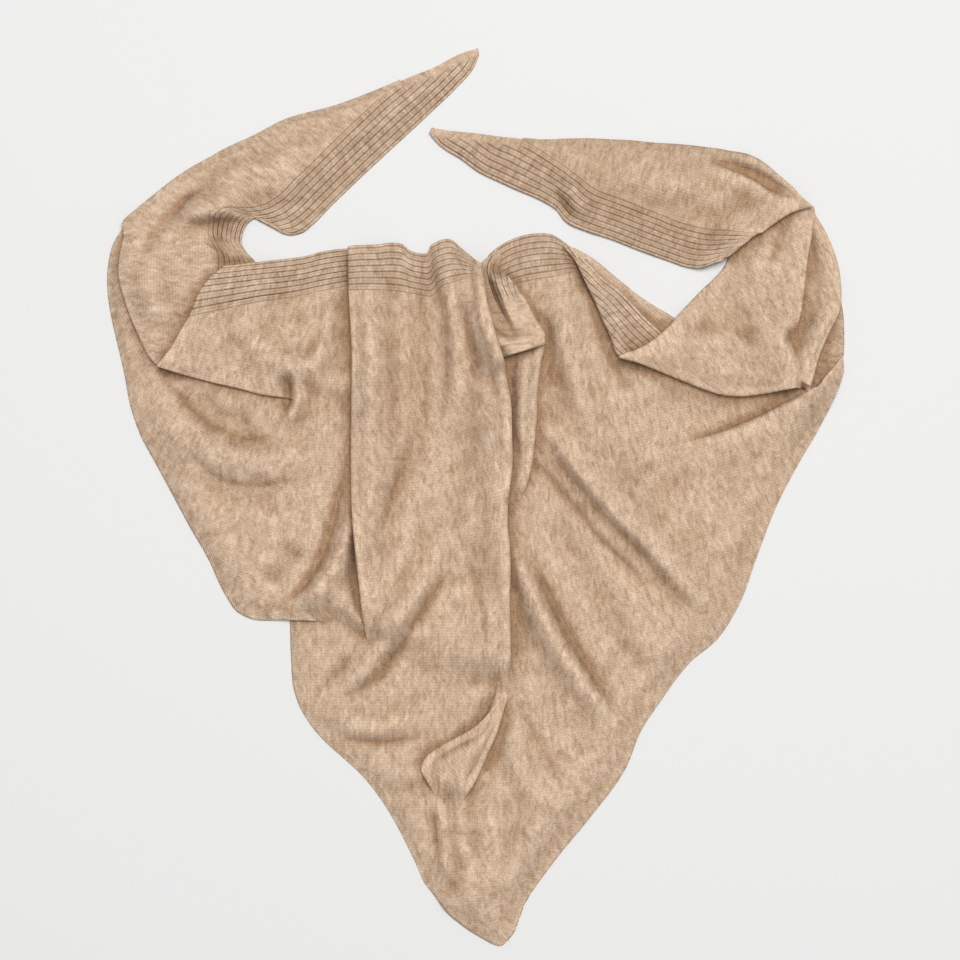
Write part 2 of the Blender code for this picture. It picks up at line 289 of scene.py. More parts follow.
CENTRE_RIB = sections("""
edge_x edge_y band_x band_y
349 247.5  349.5 291
364 246    364 291
378 245    378 291
389 243    390 291
403 244.5  403 292
408 249.5  410 293
418 253    420 294.5
427 253    432 296
431 245    438 290
438 241    444 286.5
450 239    455 283
459 246    465 280
471 257    474 278.5
482 267    483 279
""")
CENTRE = sections("""
top_x top_y foot_x foot_y
349.5 291    381 663
364   291    390 668
378   291    400 672
390   291    410 675
403   292    420 679
410   293    429 682
420   294.5  438 685
432   296    449 689
438   290    457 691
444   286.5  465 693
455   283    477 695
465   280    487 696
474   278.5  497 697
483   279    505 697
""")
CENTRE_LEFT = line("""
x y
349.5 291
351 315
353 347
353 400
352 461
353 502
355 531
358 560
361 590
364 616
368 639
381 663
""")
CENTRE_RIGHT = line("""
x y
483 279
487 306
491 322
496 341
502 359
506 381
510 404
511 436
511 472
508 496
507 525
509 545
509 600
509 671
505 697
""")

RIGHT_MIDDLE = sections("""
edge_x edge_y inner_x inner_y
574 249  568 247
595 261  583 266
617 279  600 288
646 301  622 312
675 319  645 338
688 330  655 350
""")
RIGHT_STRIP = sections("""
edge_x edge_y fold_x fold_y
573 249  569 247
587 264  578 266
602 279  586 284
617 290  595 302
631 304  603 321
646 320  611 338
661 334  618 355
672 346  632 359
""")
RIGHT_TURN = sections("""
inner_x inner_y edge_x edge_y
795 206  813 211
780 230  829 240
775 260  837 262
772 285  840 288
770 305  839 308
770 325  828 332
770 345  818 354
772 360  811 374
775 370  807 387
""")
RIGHT_FRONT = sections("""
left_x left_y right_x right_y
756 222  797 200
740 238  812 208
723 270  811 231
700 293  807 256
683 311  804 281
663 333  800 308
650 343  796 330
636 351  800 350
622 356  808 369
618 358  808 391
""")
RIGHT_FRONT_FOOT = line("""
x y
618 358
633 362
658 371
683 381
703 389
719 394
741 396
766 393
782 390
797 388
808 391
""")

RIGHT_ARM_RIB = sections("""
edge_x edge_y band_x band_y
429.5 132  432 127.5
437 142    447 130
462 159    478 133
480 172    500 136
499 181    522 139
521 191    541 150
542 200    560 163
555 208    579 177
566 221    595 189
588 231    612 196
609 238    628 202
640 250    656 213
668 260    682 223
689 267    706 229
700 268    720 230.5
713 264    733 232
724 259    745 233.5
741 246    756 235
""")
RIGHT_ARM = sections("""
band_x band_y edge_x edge_y
522 139    524 137.5
541 150    546 139
560 163    570 138
579 177    592 138
595 189    612 139
612 196    632 140
628 202    650 142
656 213    676 143.5
682 223    700 146
706 229    720 148.5
720 230.5  732 151
733 232    745 154
745 233.5  757 159
756 235    766 165
771 226    778 175
782 218    790 186
794 212    800 199
807 208.5  812 209
""")

FOOT_FOLD = sections("""
left_x left_y right_x right_y
505 682  508 682
500 696  506 698
492 709  502 713
476 726  496 732
458 737  489 749
438 748  482 765
425 759  475 780
422 768  469 790
427 779  464 797
434 792  459 803
441 805  454 810
""")

# ---------------------------------------------------------------- curves and lofts
def curve(points, t):
    """Smooth curve through points at station numbers t, with no overshoot between near points."""
    points = np.asarray(points, float)
    t = np.asarray(t, float)
    if len(points) == 2:
        return points[0] + (points[1] - points[0]) * t[:, None]
    h = np.maximum(np.linalg.norm(np.diff(points, axis=0), axis=1), 1e-6)[:, None]
    d = np.diff(points, axis=0) / h
    m = np.empty_like(points)
    m[1:-1] = (h[:-1] * d[1:] + h[1:] * d[:-1]) / (h[:-1] + h[1:])
    m[0], m[-1] = d[0], d[-1]
    i = np.clip(t.astype(int), 0, len(points) - 2)
    s = (t - i)[:, None]
    a, b, ma, mb, hi = points[i], points[i + 1], m[i], m[i + 1], h[i]
    return (
        a * (1 + 2 * s) * (1 - s) ** 2
        + b * s * s * (3 - 2 * s)
        + ma * hi * s * (1 - s) ** 2
        - mb * hi * s * s * (1 - s)
    )


def even(points, w):
    """The curve through points at shares w of its length."""
    t = np.linspace(0, len(points) - 1, 40 * (len(points) - 1) + 1)
    p = curve(points, t)
    run = np.concatenate([[0], np.cumsum(np.linalg.norm(np.diff(p, axis=0), axis=1))])
    return curve(points, np.interp(np.asarray(w) * run[-1], run, t))


def stations(rail, cell):
    """Station numbers along a rail, about cell apart."""
    steps = np.linalg.norm(np.diff(rail, axis=0), axis=1)
    t = [0.0]
    for i, s in enumerate(steps):
        n = max(1, int(round(s / cell)))
        t += [i + (k + 1) / n for k in range(n)]
    return np.array(t)


def merged(rail, first, last, cell):
    """Station numbers from row first to row last, about cell apart, without those that lie close together."""
    t = stations(rail, cell)
    t = t[(t >= first - 1e-6) & (t <= last + 1e-6)]
    least = 0.62 * cell
    p = curve(rail, t)
    keep = [0]
    for i in range(1, len(t) - 1):
        if np.linalg.norm(p[i] - p[keep[-1]]) >= least and np.linalg.norm(p[i] - p[-1]) >= 0.5 * least:
            keep.append(i)
    return t[keep + [len(t) - 1]]


def length(rail):
    return np.linalg.norm(np.diff(rail, axis=0), axis=1).sum()


def shared_stations(panels):
    """Station numbers for each panel; a ribbed band and its panel share theirs where they meet."""
    if len(panels) == 1:
        a, b = panels[0][1]
        rail = a if length(a) > length(b) else b
        return [merged(rail, 0, len(rail) - 1, CELL)]
    band, top = panels[0][1][1], panels[1][1][0]
    start = int(np.argmin(np.linalg.norm(band - top[0], axis=1)))
    met = len(band) - 1 - start
    common = merged(top, 0, met, CELL)
    rest = merged(top, met, len(top) - 1, CELL)[1:] if met < len(top) - 1 else np.array([])
    before = merged(band, 0, start, CELL)[:-1] if start else np.array([])
    return [np.concatenate([before, common + start]), np.concatenate([common, rest]), curve(top, common)]


def loft(rails, first, last, t, w, met=None):
    """Plan points between two rails and two end lines. met are the points where the panel below joins rail b."""
    a, b = rails
    ra, rb = curve(a, t), curve(b, t)
    if met is not None:
        rb[-len(met):] = met
    n = len(a) - 1
    u = (t / n)[:, None, None]
    v = np.asarray(w)[None, :, None]
    p = ra[:, None, :] * (1 - v) + rb[:, None, :] * v
    for end, share in ((first, 1 - u), (last, u)):
        if end is not None:
            q = even(end, w)
            straight = q[0] + (q[-1] - q[0]) * np.asarray(w)[:, None]
            p = p + (share ** 3) * (q - straight)[None, :, :]
    return p


def distance(p, pts):
    """Distance from each point to a line of points, its share along the line, and the side."""
    p = p.reshape(-1, 2)
    best = np.full(len(p), 1e9)
    along = np.zeros(len(p))
    side = np.zeros(len(p))
    n = len(pts) - 1
    for i in range(n):
        a, b = pts[i], pts[i + 1]
        d = b - a
        L = float(d @ d)
        if L < 1e-12:
            continue
        s = np.clip(((p - a) @ d) / L, 0, 1)
        q = p - (a + s[:, None] * d)
        r = np.hypot(q[:, 0], q[:, 1])
        m = r < best
        best[m] = r[m]
        along[m] = (i + s[m]) / n
        side[m] = (d[0] * q[m, 1] - d[1] * q[m, 0])
    return best, along, side


def ease(x):
    x = np.clip(x, 0, 1)
    return x * x * (3 - 2 * x)


def points(text):
    return np.array([float(x) for x in text.split()]).reshape(-1, 2)


def smooth(text, n=6):
    pts = points(text)
    return curve(pts, np.linspace(0, len(pts) - 1, n * (len(pts) - 1) + 1))


def ridge(shape, name):
    """Height of a stretch's folds at its plan points: round ridges and sharp creases."""
    p = shape.reshape(-1, 2)
    z = np.zeros(len(p))
    for names, height, reach_a, reach_b, text in FOLDS:
        if name not in names.split():
            continue
        d, along, side = distance(p, smooth(text))
        reach = np.where(side < 0, reach_a, reach_b)
        fade = 0.08 + 0.92 * ease(along / 0.28) * ease((1 - along) / 0.28)
        if height > 0:
            z = z + height * fade * np.exp(-((d / reach) ** 2))
        elif max(reach_a, reach_b) >= 12:
            z = z + height * fade * np.exp(-((d / reach) ** 2))
        else:
            z = z + height * fade * np.exp(-(np.sqrt(d * d + 1.4) - 1.2) / reach)
    return z.reshape(shape.shape[:-1])


# ---------------------------------------------------------------- the stack
NX, NY = int(2 * HALF_X / GRID) + 1, int(2 * HALF_Y / GRID) + 1


def widen(m, n):
    """Highest value within n cells each way."""
    for axis in (0, 1):
        out = m.copy()
        for k in range(1, n + 1):
            out = np.maximum(out, np.roll(m, k, axis))
            out = np.maximum(out, np.roll(m, -k, axis))
        m = out
    return m


def blur(m, n):
    """Mean within n cells each way."""
    for axis in (0, 1):
        out = m.copy()
        for k in range(1, n + 1):
            out = out + np.roll(m, k, axis) + np.roll(m, -k, axis)
        m = out / (2 * n + 1)
    return m


def read(m, p):
    """Value of the height map at plan points."""
    x = (p[..., 0] - CENTRE_X + HALF_X) / GRID
    y = (p[..., 1] - CENTRE_Y + HALF_Y) / GRID
    i = np.clip(x.astype(int), 0, NX - 2)
    j = np.clip(y.astype(int), 0, NY - 2)
    fx, fy = x - i, y - j
    return (
        m[i, j] * (1 - fx) * (1 - fy)
        + m[i + 1, j] * fx * (1 - fy)
        + m[i, j + 1] * (1 - fx) * fy
        + m[i + 1, j + 1] * fx * fy
    )


def lay(m, p, z, step):
    """Raises the height map to a panel's upper side."""
    k = int(math.ceil(step / (0.8 * GRID))) + 1
    f = np.linspace(0, 1, k)
    for a in f:
        for b in f:
            q = (
                p[:-1, :-1] * (1 - a) * (1 - b)
                + p[1:, :-1] * a * (1 - b)
                + p[:-1, 1:] * (1 - a) * b
                + p[1:, 1:] * a * b
            )
            h = (
                z[:-1, :-1] * (1 - a) * (1 - b)
                + z[1:, :-1] * a * (1 - b)
                + z[:-1, 1:] * (1 - a) * b
                + z[1:, 1:] * a * b
            )
            i = np.clip(np.round((q[..., 0] - CENTRE_X + HALF_X) / GRID).astype(int), 0, NX - 1)
            j = np.clip(np.round((q[..., 1] - CENTRE_Y + HALF_Y) / GRID).astype(int), 0, NY - 1)
            np.maximum.at(m, (i.ravel(), j.ravel()), h.ravel())




# ---------------------------------------------------------------- folds
# Stretches, height (above 0 a round ridge, below 0 a crease, or a hollow if it reaches 12 or more), reach to the left and to the
# right of the line, seen along it, and the line itself.
FOLDS = [
    # the tail and the foot of the centre
    ("centre lower_left", 12, 7, 17, "444 548  428 575  410 604  394 630  377 656  356 680  336 696"),
    ("centre lower_left", -10, 4, 5, "455 566  441 584  427 606  413 628  402 647  388 669  368 686  345 697"),
    ("lower_left", -5, 4, 4, "338 739  380 743  425 737"),
    ("lower_left", 8, 12, 9, "326 722  372 728  422 719"),
    ("lower_left", 6, 14, 9, "346 762  396 776  436 770"),
    ("lower_left", -6, 4, 5, "352 652  334 676  306 702"),
    ("lower_left", 6, 12, 9, "396 796  416 836  432 870"),
    ("right_panel", -9, 10, 10, "508 716  496 752  484 782"),
    ("lower_left", -5, 5, 5, "433 806  436 840  440 872"),
    ("centre", 7, 10, 18, "484 590  490 640  478 686"),
    # the centre's pleats
    ("centre", 10, 18, 11, "372 252  372 330  374 420  374 500  380 570"),
    ("centre", -10, 7, 5, "421 250  420 300  421 350  421 400  418 438  406 464  388 508  382 538"),
    ("centre", -6, 13, 12, "418 256  417 340  414 440  402 500"),
    ("centre", 14, 22, 7, "438 244  443 270  450 300  457 345  455 395  444 436"),
    ("centre", -6, 6, 4, "470 270  478 320  490 366  496 420"),
    ("centre", 7, 14, 12, "486 380  484 440  472 500  464 560"),
    ("centre", 8, 12, 10, "410 490  404 550  388 596"),
    ("centre", -5, 5, 5, "470 556  480 600  488 650"),
    # the right panel
    ("right_panel", 17, 24, 7, "538 414  560 446  588 482  616 514  650 548  686 589  713 613"),
    ("right_panel", -10, 6, 10, "528 452  546 474  572 504  598 536  634 572  668 606"),
    ("right_panel", 16, 7, 13, "508 525  516 559  541 610  560 647  577 671  601 707  625 739"),
    ("right_panel", -10, 9, 6, "528 540  546 588  566 628  588 668  612 704"),
    ("right_panel", 10, 30, 2.5, "846 355  837 366  827 377  817 386  802 398  782 407  759 419  720 435  682 446  650 456"),
    ("right_panel", -6, 3, 9, "800 396  760 415  720 431  682 443"),
    ("right_panel", 7, 20, 20, "690 480  715 525  730 570"),
    ("right_panel", 8, 13, 8, "556 296  564 345  580 400  596 440"),
    ("right_panel", -6, 6, 5, "545 300  549 350  556 400"),
    ("right_panel", -6, 8, 8, "590 300  606 350  632 400"),
    ("right_panel lower_left", 9, 14, 7, "441 792  445 846  449 886"),
    ("right_panel", -7, 5, 5, "470 780  466 815  470 862"),
    ("right_panel", 7, 14, 12, "492 800  490 850  488 900"),
    ("right_panel", 7, 14, 14, "560 770  530 840  505 900"),
    ("right_panel", 8, 12, 10, "500 722  520 770  540 806"),
    ("right_panel", -5, 5, 6, "516 700  540 745  566 786"),
    ("right_panel", -4, 6, 6, "600 620  640 664  664 700"),
    ("right_panel", 6, 14, 14, "620 600  656 645  676 684"),
    ("right_panel", -9, 14, 16, "548 500  576 548  602 596  634 656"),
    ("right_panel", -9, 13, 13, "514 540  518 610  520 690"),
    ("right_panel", -7, 14, 14, "556 350  558 400  552 436"),
    ("right_panel", -6, 16, 18, "640 384  700 408  770 410"),
    ("right_panel", -6, 16, 20, "690 500  650 480  610 480"),
    ("right_panel", -6, 14, 14, "474 770  472 820  480 880"),
    # the left wing
    ("left_wing", -8, 13, 13, "190 392  222 418  262 428"),
    ("left_wing", -6, 14, 14, "200 482  240 500  300 500"),
    ("left_wing", -8, 14, 14, "300 540  284 566  266 588"),
    ("left_wing", 13, 10, 22, "160 396  188 428  220 450  248 459  279 459  321 454"),
    ("left_wing", -10, 8, 6, "160 374  184 400  214 422  248 437  285 440"),
    ("left_wing", -5, 6, 5, "186 452  222 480  250 486  304 478"),
    ("left_wing", 15, 14, 7, "353 496  346 540  331 572  314 596  303 614"),
    ("left_wing", -15, 4, 6, "345 462  337 502  328 536  314 568  297 592  276 611"),
    ("left_wing", 8, 20, 16, "150 470  200 540  235 590"),
    ("left_wing", 8, 9, 10, "119 250  115 292  123 340  136 384"),
    ("left_wing", -14, 5, 6, "353 520  355 560  358 592  363 628"),
    ("left_wing left_flap", 14, 7, 5, "288 360  297 378  299 396  293 414  280 428"),
    ("left_wing left_flap", -9, 3, 6, "280 372  288 386  289 400  283 414"),
    # the left arm
    ("left_arm", 9, 16, 16, "310 165  255 180  205 192"),
    ("left_arm", -12, 6, 6, "208 184  182 201  166 219  153 238  142 260"),
    ("left_arm", 20, 17, 6, "176 222  205 214  230 213  258 216"),
    ("left_arm", -8, 6, 6, "216 230  221 250  229 268"),
    ("left_arm", 9, 13, 14, "150 262  150 292  162 330"),
    ("left_arm", 6, 14, 14, "330 120  370 100  410 80"),
    # the left flap
    ("left_flap", 8, 14, 12, "230 318  258 346  276 372"),
    ("left_flap", -8, 5, 7, "328 296  318 338  306 378"),
    ("left_flap", -8, 10, 13, "345 282  343 335  341 392"),
    ("left_flap", 7, 8, 12, "326 300  320 345  312 384"),
    # the right turn
    ("right_front", -5, 9, 10, "730 326  760 346  782 350"),
    ("right_front", 9, 22, 20, "765 240  752 280  735 316"),
    ("right_front", 8, 14, 10, "690 358  725 374  772 376"),
    ("right_front", -7, 8, 6, "790 216  778 246  764 276"),
    ("right_turn right_front", 11, 6, 11, "833 306  823 332  813 354  803 380"),
    ("right_turn", -14, 7, 8, "812 222  812 280  808 312  799 342"),
    ("right_outer", 8, 10, 10, "838 240  843 290  838 340"),
    ("right_arm", 17, 7, 7, "726 154  752 160  776 173  801 197"),
    ("right_arm", -34, 2.2, 3.0, "714 161  732 165  750 171  768 181  786 193  798 202"),
    ("right_arm", 8, 4, 12, "706 168  728 173  746 181  764 192  782 204"),
    ("right_arm", 9, 22, 16, "600 172  650 180  700 190  745 206"),
    ("right_arm", -8, 4, 4, "556 186  562 200  568 212  572 224"),
    ("right_arm", 7, 8, 6, "567 184  575 200  583 216"),
    # the rolled fold and its foot
    ("pocket", 13, 15, 4, "489 256  494 276  502 298  510 316  519 333"),
    ("pocket", -34, 3.6, 2.4, "481 266  483 284  487 303  496 322  509 338"),
    ("pocket", 17, 7, 6, "478 296  485 318  495 338  511 348  527 341"),
    ("pocket_foot", 10, 7, 10, "527 345  523 400  521 455"),
    ("pocket_foot", -7, 5, 5, "507 360  506 420  507 470"),
    ("foot_fold", 7, 11, 11, "503 700  484 736  456 764  447 790"),
    ("foot_fold", -5, 2.5, 2.5, "497 714  476 736  450 751  434 763  433 774  442 794"),
    ("foot_fold", -5, 2.5, 2.5, "500 720  489 744  476 768  464 788"),
    ("right_strip", 5, 8, 12, "580 256  606 304  632 342"),
]

# name, panels (node, rails, first end, last end), rises of the turned edges a b first last, lift
STRETCHES = [
    ("lower_left", [("lower_left", LOWER_LEFT, None, None)], (0, 0, 0, 0), 6.0),
    ("right_outer", [("right_outer", RIGHT_OUTER, None, None)], (0, 0, 0, 0), 4.0),
    ("right_panel", [("right_rib", RIGHT_RIB, None, None), ("right_panel", RIGHT_PANEL, RIGHT_PANEL_LEFT, None)], (0, 0, 0, 0), 11.0),
    ("left_wing", [("left_wing", LEFT_WING, None, None)], (0, 0, 0, 0), 10.0),
    ("left_arm", [("left_arm_rib", LEFT_ARM_RIB, None, None), ("left_arm", LEFT_ARM, None, None)], (0, 3.5, 0, 0), 7.0),
    ("left_flap", [("left_flap_rib", LEFT_FLAP_RIB, LEFT_FLAP_RIB_LEFT, None), ("left_flap", LEFT_FLAP, LEFT_FLAP_LEFT, None)], (0, 4, 5, 0), 8.0),
    ("pocket_foot", [("pocket_foot", POCKET_FOOT, None, None)], (0, 7, 0, 0), 1.0),
    ("pocket", [("pocket", POCKET, None, None)], (0, 6, 0, 6), 0.0),
    ("centre", [("centre_rib", CENTRE_RIB, None, None), ("centre_panel", CENTRE, CENTRE_LEFT, CENTRE_RIGHT)], (0, 0, 6, 8), 9.0),
    ("right_middle", [("right_middle", RIGHT_MIDDLE, None, None)], (3, 0, 0, 0), 0.0),
    ("right_strip", [("right_strip", RIGHT_STRIP, None, None)], (0, 5, 0, 0), 0.5),
    ("right_turn", [("right_turn", RIGHT_TURN, None, None)], (0, 5, 0, 0), 5.0),
    ("right_front", [("right_front", RIGHT_FRONT, None, RIGHT_FRONT_FOOT)], (5, 5, 0, 6), 6.0),
    ("right_arm", [("right_arm_rib", RIGHT_ARM_RIB, None, None), ("right_arm", RIGHT_ARM, None, None)], (0, 0, 0, 0), 6.0),
    ("foot_fold", [("foot_fold", FOOT_FOLD, None, None)], (6, 6, 0, 0), 0.0),
]

# direction of the knit's wales, degrees from +x towards -y, at places x y; None: from rail a to rail b
GRAIN = {
    "lower_left": "400 760 90",
    "centre": "380 400 90  480 290 92  478 390 62  455 425 60  420 480 88  480 560 88  430 640 90",
    "foot_fold": "470 740 128",
    "right_outer": "830 330 20",
    "right_panel": "560 300 88  600 480 76  700 560 74  560 700 78  480 880 82  800 430 70  460 850 88",
    "left_wing": "330 440 91  330 560 96  270 470 112  200 480 120  140 330 150  150 420 132  250 590 118",
    "left_flap": "220 320 104  300 320 96  330 400 91",
    "pocket_foot": "520 430 90",
    "right_middle": "630 300 45",
    "right_front": "720 260 62  780 300 66  700 370 55  790 370 58",
    "right_turn": "815 300 58",
}

# where the cloth runs on without an edge: stretch, the one it joins, the reach, the line
JOINS = [
    ("left_flap", "left_wing", 34, "300 398  330 411  377 430"),
    ("centre", "lower_left", 42, "374 652  381 663  390 668  410 675  429 682  450 690  477 695  497 697"),
    ("pocket_foot", "right_panel", 26, "498 513  518 512"),
    ("right_front", "right_turn", 13, "798 337  801 349  808 366  809 378  808 391"),
    ("right_panel", "lower_left", 20, "441 800  443 824  445 850  447 872  442 886  430 891"),
    ("left_wing", "lower_left", 22, "334 630  346 636  354 641  364 646  378 638  382 622"),
    ("foot_fold", "centre", 15, "502 682  511 682"),
    ("pocket", "right_panel", 13, "500 244  500 254  500 266"),
    ("right_strip", "right_panel", 12, "567 246  575 248"),
    ("foot_fold", "right_panel", 24, "438 806  456 811"),
]

# edges that bend over without a lip: stretch, radius, rise, line
RIMS = [
    ("right_arm", 3.0, 4.5, "718 263  741 246  756 235  771 226  782 218  794 212  807 208.5"),
    ("left_arm", 2.5, 3.0, "306 229  290 233  272 223  259 217  250 224  244 240"),
]
# share of its fold height that a stretch keeps right at its rim
RIM_KEEP = {"centre": 0.42, "pocket": 0.9, "pocket_foot": 0.6, "foot_fold": 0.6, "right_strip": 0.6, "right_turn": 0.5, "left_flap": 0.3, "right_arm": 0.42}
# short edges of the knitted piece, which have a selvedge: stretch and its rail
SELVEDGE = {"lower_left": "a", "left_wing": "a", "left_arm": "b", "right_panel": "b", "right_outer": "b", "right_arm": "b"}
RIBBED = {"right_rib": 0, "left_arm_rib": 3, "left_flap_rib": 0, "centre_rib": 0, "right_strip": 0, "right_arm_rib": 4}


def fine_stations(rail, first, last, cell):
    t = stations(rail, cell)
    t = t[(t >= first - 1e-6) & (t <= last + 1e-6)]
    return t


def panel_stations(panels):
    if len(panels) == 1:
        a, b = panels[0][1]
        rail = a if length(a) > length(b) else b
        return [fine_stations(rail, 0, len(rail) - 1, CELL)]
    band, top = panels[0][1][1], panels[1][1][0]
    start = int(np.argmin(np.linalg.norm(band - top[0], axis=1)))
    met = len(band) - 1 - start
    foot = panels[1][1][1]
    rail = top if length(foot) < 1.5 * length(top) else 0.5 * (top + foot)
    common = fine_stations(rail, 0, met, CELL)
    rest = fine_stations(rail, met, len(top) - 1, CELL)[1:] if met < len(top) - 1 else np.array([])
    before = fine_stations(band, 0, start, CELL)[:-1] if start else np.array([])
    return [np.concatenate([before, common + start]), np.concatenate([common, rest]), curve(top, common)]


def ripple(p, seed):
    """Slight unevenness of cloth that lies loose."""
    x, y = p[..., 0] + 37 * seed, p[..., 1] + 61 * seed
    z = 0.0
    for k, (wx, wy, a) in enumerate(((61, 97, 0.55), (43, -71, 0.40), (83, 29, 0.45), (27, 37, 0.18), (-31, 22, 0.16))):
        z = z + a * np.sin(2 * math.pi * (x / wx + y / wy) + 1.7 * k + seed)
    return z


def wale_coordinates(p, name):
    """Cloth coordinates (along the courses, along the wales) in mm with the least stretch.
    Where the cloth runs on into another stretch, both keep the same coordinates."""
    nu, nv = p.shape[:2]
    iu = np.unique(np.round(np.linspace(0, nu - 1, min(nu, 30))).astype(int))
    iv = np.unique(np.round(np.linspace(0, nv - 1, min(nv, 24))).astype(int))
    q = p[np.ix_(iu, iv)]
    m, n = len(iu), len(iv)
    if name in GRAIN:
        rows = np.array([float(x) for x in GRAIN[name].split()]).reshape(-1, 3)
        d2 = ((q[:, :, None, :] - rows[None, None, :, :2]) ** 2).sum(3) + 200.0
        share = 1 / d2 ** 1.5
        angle = np.radians((share * rows[:, 2]).sum(2) / share.sum(2))
        g = np.stack([np.cos(angle), np.sin(angle)], 2)
    else:
        g = np.gradient(q, axis=1)
        g = g / np.maximum(np.linalg.norm(g, axis=2, keepdims=True), 1e-6)
        width = np.linalg.norm(q[:, -1] - q[:, 0], axis=1)
        for i in range(m):
            if width[i] < 14:
                g[i] = g[int(np.argmax(width))]
    h = np.stack([g[..., 1], -g[..., 0]], axis=2)
    idx = np.arange(m * n).reshape(m, n)
    pairs = np.concatenate([
        np.stack([idx[:-1].ravel(), idx[1:].ravel()], 1),
        np.stack([idx[:, :-1].ravel(), idx[:, 1:].ravel()], 1),
    ])
    qf, gf, hf = q.reshape(-1, 2), g.reshape(-1, 2), h.reshape(-1, 2)
    d = qf[pairs[:, 1]] - qf[pairs[:, 0]]
    w = 1 / np.maximum((d ** 2).sum(1), 1.0)
    size = m * n
    lap = np.zeros((size, size))
    np.add.at(lap, (pairs[:, 0], pairs[:, 0]), w)
    np.add.at(lap, (pairs[:, 1], pairs[:, 1]), w)
    np.add.at(lap, (pairs[:, 0], pairs[:, 1]), -w)
    np.add.at(lap, (pairs[:, 1], pairs[:, 0]), -w)
    tie = np.full(size, 1e-6)
    for one, other, reach, text in JOINS:
        if name in (one, other):
            away = distance(qf, points(text))[0]
            tie = tie + 0.5 * (away < 14)
    lap[np.arange(size), np.arange(size)] += tie
    shared = (qf[:, 0] - 400.0, qf[:, 1] - 600.0)
    out = []
    for f, common in ((hf, shared[0]), (gf, shared[1])):
        want = ((f[pairs[:, 0]] + f[pairs[:, 1]]) / 2 * d).sum(1) * w
        rhs = tie * common
        np.add.at(rhs, pairs[:, 1], want)
        np.add.at(rhs, pairs[:, 0], -want)
        out.append(np.linalg.solve(lap, rhs).reshape(m, n))
    full = []
    for c in out:
        rows_ = np.stack([np.interp(np.arange(nu), iu, c[:, j]) for j in range(n)], 1)
        full.append(np.stack([np.interp(np.arange(nv), iv, rows_[i]) for i in range(nu)], 0))
    return np.stack(full, axis=2)


def rib_depth(node, rails, t, w):
    """Distance from the long edge in the knitted cloth for each point of a ribbed band."""
    a, b = rails
    start = RIBBED[node]
    width = np.linalg.norm(curve(b, t) - curve(a, t), axis=1)
    at = np.interp(start, np.arange(len(a)), np.linalg.norm(b - a, axis=1)) if start else 1.0
    full = np.where(t >= start, BAND, width * BAND / at) if start else np.full(len(t), BAND)
    return full[:, None] * np.asarray(w)[None, :]


def furrow(d):
    """Depth and shade of the rib at distance d from the long edge."""
    k = np.round((BAND - d) / PITCH)
    x = (BAND - d) - k * PITCH
    there = (k >= 0) & (k <= 7) & (d < BAND + 3)
    shade = np.where(there, np.exp(-((x / 0.85) ** 2)), 0)
    mid = np.abs(x) - PITCH / 2
    fine_line = np.where((d < BAND - 1) & (d > 1), np.exp(-((mid / 0.6) ** 2)), 0)
    return shade, fine_line


def hem(q, uv, extra, rise, base):
    """Turns a panel's last column over and under: a rounded fold and a lip that lies on what is below.
    rise is a number for each row."""
    r = np.maximum(0.5 * rise, 0.15)
    inner = q[:, max(0, q.shape[1] - 6)]
    o = q[:, -1, :2] - inner[:, :2]
    o = o / np.maximum(np.linalg.norm(o, axis=1, keepdims=True), 1e-6)
    d = np.linalg.norm(q[:, :, :2] - q[:, -1:, :2], axis=2)
    pull = (1 - ease(d / 14.0)) * r[:, None]
    q[:, :, :2] -= o[:, None, :] * pull[:, :, None]
    edge = q[:, -1].copy()
    cols, ucols = [], []
    back = min(4, q.shape[1] - 1)
    pace = np.linalg.norm(q[:, -1, :2] - q[:, -1 - back, :2], axis=1, keepdims=True)
    flow = (uv[:, -1] - uv[:, -1 - back]) / np.maximum(pace, 0.3)
    flow = flow / np.maximum(np.linalg.norm(flow, axis=1, keepdims=True), 0.7)
    centre_z = edge[:, 2] - r
    for k in range(1, 8):
        f = math.pi * k / 7
        c = edge.copy()
        c[:, :2] += o * (r * math.sin(f))[:, None]
        c[:, 2] = np.maximum(centre_z + r * math.cos(f), CLOTH / 2)
        cols.append(c)
        ucols.append(uv[:, -1] + flow * (r * f)[:, None])
    for s in (3.0, 7.0, 11.0):
        c = edge.copy()
        c[:, :2] -= o * s
        low = read(base, c[:, :2]) + CLOTH / 2
        high = centre_z - r
        mix = ease(s / 11.0)
        c[:, 2] = np.minimum(np.maximum(high * (1 - mix) + low * mix, low), edge[:, 2] - 2.2)
        # the lip stays under its own cloth where that falls away steeply
        over = np.array([np.interp(s, d[i, ::-1], q[i, ::-1, 2]) for i in range(len(q))])
        c[:, 2] = np.minimum(c[:, 2], over - 2.2)
        c[:, 2] = np.maximum(c[:, 2], CLOTH / 2)
        cols.append(c)
        ucols.append(uv[:, -1] + flow * (r * math.pi + s)[:, None])
    turned = np.stack([extra[:, -1]] * len(cols), 1)
    return (
        np.concatenate([q, np.stack(cols, 1)], 1),
        np.concatenate([uv, np.stack(ucols, 1)], 1),
        np.concatenate([extra, turned], 1),
    )


